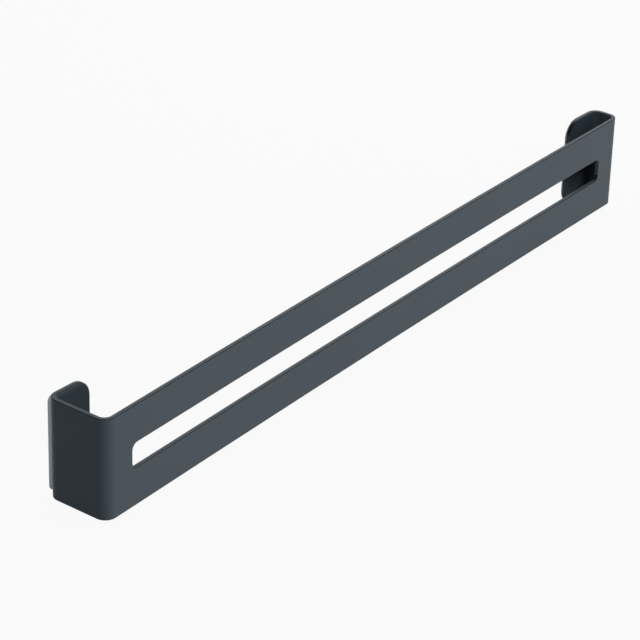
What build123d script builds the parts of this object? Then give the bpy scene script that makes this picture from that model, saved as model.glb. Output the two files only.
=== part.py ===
"""Pot lid holder: one strip of folded sheet steel with a long slot, and two adhesive pads behind it.

The strip is bent four times. In plan it is a shallow tray that is open at the back: a long front
plate, a side wall at each end and a short tab behind each wall. Both tabs lie in the mounting
plane. The left wall is deeper than the right one, so the front plate runs at a small angle to
the mounting plane, and the gap behind it, where the lids' rims stand, narrows to the right. The
plate is bowed a little, with its middle towards the mounting plane.

Frame, in millimetres: +X runs along the mounting plane from the deep left end to the shallow
right end, +Y points into the surface that the pads stick to, and +Z up. The origin is at the
middle of the underside of the bounding box.
"""

import os
from math import atan, atan2, cos, tan

from build123d import *

# The strip
length = 387.8  # over the outer faces of the side walls
height = 45.3
sheet = 2.0  # steel and coating
bend_radius = 3.2  # inside radius of all four bends
left_depth = 31.8  # the tabs' rear faces to the front plate's left corner
right_depth = 14.8  # the same to its right corner
plate_bow = 1.1  # the plate's middle stands back from the line between its corners
edge_radius = 0.3  # the coating's soft edges

# The tabs
tab_width = 23.2  # outer face of the side wall to the free edge
tab_corner_radius = 8.0

# The slot through the front plate
slot_height = 11.2
slot_margin = 16.2  # the plate's outer corner to the slot's end
slot_corner_radius = 3.0

# The adhesive pads
pad_thickness = 2.0
pad_wall_margin = 3.2  # from the outer face of the side wall
pad_free_margin = 2.3  # from the tab's free edge
pad_top_margin = 1.8  # from the tab's upper edge; below, pad and tab end together
pad_corner_radius = 3.0  # next to the bend; the other corners follow the tab's

# The front plate's outer corners and middle, with the whole depth centred on the origin
outer_radius = bend_radius + sheet
end_x = length / 2
free_edge_x = end_x - tab_width
taper_angle = atan2(left_depth - right_depth, length)
left_slope = taper_angle + 2 * atan(2 * plate_bow * cos(taper_angle) / length)
corner_setback = outer_radius * (tan(left_slope) + 1 / cos(left_slope) - 1)
tab_rear_y = (left_depth - corner_setback - pad_thickness) / 2
left_corner = Vector(-end_x, tab_rear_y - left_depth)
right_corner = Vector(end_x, tab_rear_y - right_depth)
plate_line = right_corner - left_corner
plate_outward = plate_line.cross(Vector(0, 0, 1)).normalized()
plate_middle = (left_corner + right_corner) / 2 - plate_outward * plate_bow
slot_centre = (left_corner + right_corner) / 2 + Vector(0, 0, height / 2)
slot_plane = Plane(slot_centre, x_dir=plate_line, z_dir=plate_outward)
tab_plane = Plane((0, tab_rear_y, 0), x_dir=(1, 0, 0), z_dir=(0, -1, 0))

os.makedirs("parts", exist_ok=True)

# The folded strip
with BuildPart() as bracket:
    with BuildSketch(Plane.XY):
        with BuildLine() as outer_faces:
            Polyline((-free_edge_x, tab_rear_y), (-end_x, tab_rear_y), left_corner)
            ThreePointArc(left_corner, plate_middle, right_corner)
            Polyline(right_corner, (end_x, tab_rear_y), (free_edge_x, tab_rear_y))
            fillet(outer_faces.vertices(), radius=outer_radius)
            offset(amount=sheet, side=Side.LEFT)
        make_face()
    extrude(amount=height)

    # The free corners of both tabs
    across_tabs = bracket.edges().filter_by(Axis.Y)
    tab_corners = across_tabs.filter_by(lambda edge: abs(edge.center().X) < free_edge_x + sheet)
    fillet(tab_corners, radius=tab_corner_radius)

    # Soft edges all round the strip, but not along its bends or through its thickness
    soft_radius = min(edge_radius, sheet / 4)
    upright = bracket.edges().filter_by(Axis.Z)
    bend_lines = upright.filter_by(lambda edge: abs(edge.center().X) > free_edge_x + sheet)
    across_tabs = bracket.edges().filter_by(Axis.Y)
    through_tabs = across_tabs.filter_by(lambda edge: abs(edge.center().X) < end_x - outer_radius)
    fillet(bracket.edges() - bend_lines - through_tabs, radius=soft_radius)

    # The slot, with its own soft edges on both faces of the plate
    with BuildSketch(slot_plane):
        RectangleRounded(plate_line.length - 2 * slot_margin, slot_height, slot_corner_radius)
    extrude(amount=-2 * sheet - plate_bow, mode=Mode.SUBTRACT)
    through_plate = Axis(slot_centre, plate_outward)
    fillet(bracket.edges(Select.LAST).filter_by(through_plate, reverse=True), radius=soft_radius)

# The pad behind the left tab, and its mirror image behind the right one
with BuildPart() as left_pad:
    with BuildSketch(tab_plane) as pad_outline:
        with Locations((-end_x + pad_wall_margin, 0)):
            Rectangle(
                tab_width - pad_wall_margin - pad_free_margin,
                height - pad_top_margin,
                align=(Align.MIN, Align.MIN),
            )
        fillet(pad_outline.vertices().group_by(Axis.X)[0], radius=pad_corner_radius)
        fillet(pad_outline.vertices().group_by(Axis.X)[-1], radius=tab_corner_radius)
    extrude(amount=-pad_thickness)

with BuildPart() as right_pad:
    mirror(left_pad.part, about=Plane.YZ)

bracket.part.label = "bracket"
left_pad.part.label = "left_pad"
right_pad.part.label = "right_pad"
export_step(bracket.part, "parts/bracket.step")
export_step(left_pad.part, "parts/left_pad.step")
export_step(right_pad.part, "parts/right_pad.step")
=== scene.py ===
"""Studio scene of the pot lid holder: powder-coated folded rail, foam pads, pale floor, soft light.

Lengths are in metres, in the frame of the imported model: +X along the rail, +Y into the surface
that the pads stick to, +Z up.
"""

import math

import bpy
from mathutils import Matrix, Vector


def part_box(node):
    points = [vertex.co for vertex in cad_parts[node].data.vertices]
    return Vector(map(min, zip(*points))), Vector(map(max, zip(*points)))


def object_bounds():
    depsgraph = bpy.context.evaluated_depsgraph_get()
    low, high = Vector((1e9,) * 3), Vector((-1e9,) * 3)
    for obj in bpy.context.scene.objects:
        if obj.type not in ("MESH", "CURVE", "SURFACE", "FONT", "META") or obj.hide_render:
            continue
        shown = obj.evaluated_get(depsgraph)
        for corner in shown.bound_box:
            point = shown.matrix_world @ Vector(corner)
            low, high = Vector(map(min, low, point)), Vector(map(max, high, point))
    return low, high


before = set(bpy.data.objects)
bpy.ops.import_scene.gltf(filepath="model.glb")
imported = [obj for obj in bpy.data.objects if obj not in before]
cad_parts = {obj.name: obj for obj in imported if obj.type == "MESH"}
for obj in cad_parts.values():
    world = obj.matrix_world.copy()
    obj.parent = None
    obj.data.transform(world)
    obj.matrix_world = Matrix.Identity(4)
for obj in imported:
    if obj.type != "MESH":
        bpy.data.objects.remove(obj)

CAD_LOW, CAD_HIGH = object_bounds()
MM = 0.001
WHITE = (1.0, 1.0, 1.0, 1.0)

# The camera, as fitted to the photograph's perspective. Its place is counted from the rail's
# lower left corner in the plane of the tabs' rear faces. Angles are in radians.
CAMERA_OFFSET = Vector((-672.83, -649.57, 559.49)) * MM
CAMERA_TURN = 0.91628
CAMERA_DIP = 0.47438
CAMERA_ROLL = 0.03160
FOCAL_LENGTH_PX = 2732.08
IMAGE_SIZE_PX = 640
SENSOR_MM = 36.0
NEAREST_SEEN = 0.05
FARTHEST_SEEN = 50.0

# The powder coat. Its colour and roughness run between two values with the grain.
COAT_DARK = (0.041, 0.051, 0.058, 1.0)
COAT_LIGHT = (0.051, 0.062, 0.070, 1.0)
COAT_SMOOTHEST = 0.46
COAT_ROUGHEST = 0.58
COAT_SPECULAR = 0.1
GRAIN = {"Scale": 2600.0, "Detail": 3.0, "Roughness": 0.6}
DRIFT = {"Scale": 9.0, "Detail": 2.0, "Roughness": 0.5}
NOISE_RANGE = {"From Min": 0.6, "From Max": 1.4}
GRAIN_BUMP = {"Strength": 0.35, "Distance": 0.03 * MM}

# Painted shade on the coat's soft edges, by how far its surface faces up, from 0 on upright faces to 1
# on level ones
PAINTED_EDGE_SHADE = (0.05, 0.05, 0.05, 1.0)
EDGE_SHADE_STOPS = ((0.06, WHITE), (0.25, PAINTED_EDGE_SHADE), (0.85, PAINTED_EDGE_SHADE), (0.97, WHITE))

# The foam of the pads
FOAM_DARK = (0.74, 0.72, 0.70, 1.0)
FOAM_LIGHT = (0.88, 0.86, 0.84, 1.0)
FOAM_SURFACE = {"Roughness": 0.85, "Specular IOR Level": 0.25}
CELL_SCALE = 5200.0
CELL_BUMP = {"Strength": 0.5, "Distance": 0.05 * MM}

# The floor: grey paper, which takes the shadow, under a share of plain white where it is seen
FLOOR_SIZE = 12.0
FLOOR_PAPER = (0.35, 0.35, 0.35, 1.0)
FLOOR_WHITE_SHARE = 0.93

# The room's light: its level on a white surface, its tint, and the shares of both that come
# from the horizon and from overhead, and from the left and the right
ROOM_LEVEL = 0.55
ROOM_TINT = (0.84, 0.95, 1.05)
SHARE_AT_HORIZON = 0.7
SHARE_OVERHEAD = 1.3
SHARE_FROM_LEFT = 0.10
SHARE_FROM_RIGHT = 1.7


def add_node(tree, kind, inputs=None, **properties):
    """Adds a node to a tree, sets its own properties, then the inputs named in a dictionary."""
    node = tree.nodes.new(kind)
    for name, value in properties.items():
        setattr(node, name, value)
    for name, value in (inputs or {}).items():
        node.inputs[name].default_value = value
    return node


def calculate(tree, operation, first, second):
    """The result of an operation on two sockets, or on a socket and a number."""
    node = add_node(tree, "ShaderNodeMath", operation=operation)
    for place, value in zip(node.inputs, (first, second)):
        if isinstance(value, bpy.types.NodeSocket):
            tree.links.new(value, place)
        else:
            place.default_value = value
    return node.outputs["Value"]


def map_range(tree, value, limits):
    """A value mapped from one range to another, with the limits that differ from 0 and 1."""
    node = add_node(tree, "ShaderNodeMapRange", limits)
    tree.links.new(value, node.inputs["Value"])
    return node.outputs["Result"]


def colour_ramp(tree, value, stops):
    """The colour for a value, from pairs of a position and the colour there."""
    ramp = tree.nodes.new("ShaderNodeValToRGB")
    elements = ramp.color_ramp.elements
    elements.remove(elements[-1])
    elements[0].position, elements[0].color = stops[0]
    for position, colour in stops[1:]:
        elements.new(position).color = colour
    tree.links.new(value, ramp.inputs["Fac"])
    return ramp.outputs["Color"]


def split(tree, vector):
    """The X, Y and Z parts of a vector, by name."""
    parts = tree.nodes.new("ShaderNodeSeparateXYZ")
    tree.links.new(vector, parts.inputs[0])
    return parts.outputs


def texture(tree, kind, values, output):
    """One output of a texture that lies in the piece's own coordinates."""
    place = tree.nodes.new("ShaderNodeTexCoord")
    pattern = add_node(tree, kind, values)
    tree.links.new(place.outputs["Object"], pattern.inputs["Vector"])
    return pattern.outputs[output]


def bumped(tree, height, values):
    """The surface's normal with fine bumps of the given height."""
    bump = add_node(tree, "ShaderNodeBump", values)
    tree.links.new(height, bump.inputs["Height"])
    return bump.outputs["Normal"]


def mix_shaders(tree, share, first, second):
    """Two shaders mixed, with the share of the second."""
    mix = tree.nodes.new("ShaderNodeMixShader")
    for place, source in zip(mix.inputs, (share, first, second)):
        tree.links.new(source, place)
    return mix.outputs["Shader"]


def new_material(name):
    """A material with an empty node tree."""
    material = bpy.data.materials.new(name)
    material.use_nodes = True
    material.node_tree.nodes.clear()
    return material


def add_surface(tree, values):
    """The main shader of a material, joined to its output."""
    shader = add_node(tree, "ShaderNodeBsdfPrincipled", values)
    out = tree.nodes.new("ShaderNodeOutputMaterial")
    tree.links.new(shader.outputs["BSDF"], out.inputs["Surface"])
    return shader


def seen_background(tree):
    """One for rays that show the background: those of the camera, of reflections and through glass."""
    rays = tree.nodes.new("ShaderNodeLightPath").outputs
    seen = calculate(tree, "MAXIMUM", rays["Is Camera Ray"], rays["Is Glossy Ray"])
    return calculate(tree, "MAXIMUM", seen, rays["Is Transmission Ray"])


def painted_edge_shade(tree):
    """White, but darkened with painted shade on the soft edges that turn from an upright face to an
    upper one.
    """
    surface = tree.nodes.new("ShaderNodeNewGeometry")
    upward = split(tree, surface.outputs["Normal"])["Z"]
    return colour_ramp(tree, upward, EDGE_SHADE_STOPS)


def coat_colour(tree, grain):
    """Anthracite that varies with the grain and drifts slowly over the rail, with painted shade on its
    upper edges.
    """
    drift = texture(tree, "ShaderNodeTexNoise", DRIFT, "Fac")
    both = calculate(tree, "ADD", grain, drift)
    tone = map_range(tree, both, NOISE_RANGE)
    shade = add_node(tree, "ShaderNodeMix", {"Factor": 1.0}, data_type="RGBA", blend_type="MULTIPLY")
    tree.links.new(colour_ramp(tree, tone, ((0.0, COAT_DARK), (1.0, COAT_LIGHT))), shade.inputs["A"])
    # The colour is multiplied by the painted shade on the upper edges
    tree.links.new(painted_edge_shade(tree), shade.inputs["B"])
    return shade.outputs["Result"]


def powder_coat():
    """Satin anthracite powder coat with a very fine grain."""
    material = new_material("powder_coat")
    tree = material.node_tree
    shader = add_surface(tree, {"Specular IOR Level": COAT_SPECULAR})
    grain = texture(tree, "ShaderNodeTexNoise", GRAIN, "Fac")
    roughness = map_range(tree, grain, {"To Min": COAT_SMOOTHEST, "To Max": COAT_ROUGHEST})
    tree.links.new(coat_colour(tree, grain), shader.inputs["Base Color"])
    tree.links.new(roughness, shader.inputs["Roughness"])
    tree.links.new(bumped(tree, grain, GRAIN_BUMP), shader.inputs["Normal"])
    return material


def foam():
    """Light grey closed-cell foam, with its cells cut open on the edges."""
    material = new_material("foam")
    tree = material.node_tree
    shader = add_surface(tree, FOAM_SURFACE)
    cells = texture(tree, "ShaderNodeTexVoronoi", {"Scale": CELL_SCALE}, "Distance")
    colour = colour_ramp(tree, cells, ((0.0, FOAM_DARK), (1.0, FOAM_LIGHT)))
    tree.links.new(colour, shader.inputs["Base Color"])
    tree.links.new(bumped(tree, cells, CELL_BUMP), shader.inputs["Normal"])
    return material


def dress(node, material):
    """Gives a piece of the frame its material."""
    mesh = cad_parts[node].data
    mesh.materials.clear()
    mesh.materials.append(material)


def floor_finish():
    """White to the eye and in reflections. As a source of bounced light it is mid-grey paper."""
    material = new_material("floor")
    tree = material.node_tree
    paper = add_node(tree, "ShaderNodeBsdfDiffuse", {"Color": FLOOR_PAPER})
    glow = add_node(tree, "ShaderNodeEmission", {"Color": WHITE})
    share = calculate(tree, "MULTIPLY", seen_background(tree), FLOOR_WHITE_SHARE)
    out = tree.nodes.new("ShaderNodeOutputMaterial")
    finish = mix_shaders(tree, share, paper.outputs["BSDF"], glow.outputs["Emission"])
    tree.links.new(finish, out.inputs["Surface"])
    return material


def make_floor():
    """A square floor under the rail that keeps a faint shadow of it."""
    half = FLOOR_SIZE / 2
    corners = [(-half, -half, 0), (half, -half, 0), (half, half, 0), (-half, half, 0)]
    mesh = bpy.data.meshes.new("floor")
    mesh.from_pydata(corners, [], [(0, 1, 2, 3)])
    mesh.materials.append(floor_finish())
    floor = bpy.data.objects.new("floor", mesh)
    floor.location.z = CAD_LOW.z
    bpy.context.scene.collection.objects.link(floor)


def room_light(tree):
    """The room's light from each direction: strongest overhead, and weaker from the left."""
    place = tree.nodes.new("ShaderNodeTexCoord")
    direction = split(tree, place.outputs["Generated"])
    upward_limits = {"To Min": ROOM_LEVEL * SHARE_AT_HORIZON, "To Max": ROOM_LEVEL * SHARE_OVERHEAD}
    sideways_limits = {"From Min": -1.0, "To Min": SHARE_FROM_LEFT, "To Max": SHARE_FROM_RIGHT}
    upward = map_range(tree, direction["Z"], upward_limits)
    sideways = map_range(tree, direction["X"], sideways_limits)
    return calculate(tree, "MULTIPLY", upward, sideways)


def make_world():
    """The room, which looks white and lights the rail with its own level and tint."""
    world = bpy.data.worlds.new("studio")
    world.use_nodes = True
    tree = world.node_tree
    tree.nodes.clear()
    white = add_node(tree, "ShaderNodeBackground", {"Color": WHITE, "Strength": 1.0})
    room = add_node(tree, "ShaderNodeBackground", {"Color": (*ROOM_TINT, 1.0)})
    tree.links.new(room_light(tree), room.inputs["Strength"])
    out = tree.nodes.new("ShaderNodeOutputWorld")
    sources = room.outputs["Background"], white.outputs["Background"]
    tree.links.new(mix_shaders(tree, seen_background(tree), *sources), out.inputs["Surface"])
    bpy.context.scene.world = world


def make_lamp(name, towards, distance, width, height, level, colour=(1.0, 1.0, 1.0)):
    """A soft box that gives a white surface facing it the brightness in level.

    Its power reaches the surface divided by pi and the squared distance, and a white surface
    shows it divided by pi once more.
    """
    lamp = bpy.data.lights.new(name, "AREA")
    lamp.shape = "RECTANGLE"
    lamp.size, lamp.size_y = width, height
    lamp.color = colour
    lamp.energy = level * math.pi**2 * distance**2
    holder = bpy.data.objects.new(name, lamp)
    direction = Vector(towards).normalized()
    target = (CAD_LOW + CAD_HIGH) / 2
    holder.location = target + direction * distance
    holder.rotation_euler = direction.to_track_quat("Z", "Y").to_euler()
    bpy.context.scene.collection.objects.link(holder)


def make_lamps():
    """A wide low key in front, a cool fill above on the left, and a near lamp above the right rear."""
    make_lamp("key", towards=(0.30, -0.95, 0.05), distance=2.2, width=1.6, height=0.18, level=0.70)
    make_lamp(
        "fill",
        towards=(-0.38, -0.66, 0.65),
        distance=2.0,
        width=0.6,
        height=0.6,
        level=0.37,
        colour=ROOM_TINT,
    )
    make_lamp("top", towards=(0.66, 0.36, 0.66), distance=0.75, width=0.4, height=0.4, level=0.48)


def make_camera():
    """The photograph's viewpoint."""
    data = bpy.data.cameras.new("camera")
    data.sensor_width = SENSOR_MM
    data.lens = FOCAL_LENGTH_PX / IMAGE_SIZE_PX * SENSOR_MM
    data.clip_start, data.clip_end = NEAREST_SEEN, FARTHEST_SEEN
    camera = bpy.data.objects.new("camera", data)
    corner = Vector((CAD_LOW.x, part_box("left_pad")[0].y, CAD_LOW.z))
    turn = (
        Matrix.Rotation(-CAMERA_TURN, 4, "Z")
        @ Matrix.Rotation(math.pi / 2 - CAMERA_DIP, 4, "X")
        @ Matrix.Rotation(CAMERA_ROLL, 4, "Z")
    )
    camera.matrix_world = Matrix.Translation(corner + CAMERA_OFFSET) @ turn
    bpy.context.scene.collection.objects.link(camera)
    bpy.context.scene.camera = camera


dress("bracket", powder_coat())
pad_foam = foam()
dress("left_pad", pad_foam)
dress("right_pad", pad_foam)
make_floor()
make_world()
make_lamps()
make_camera()
bpy.context.scene.view_settings.view_transform = "Standard"
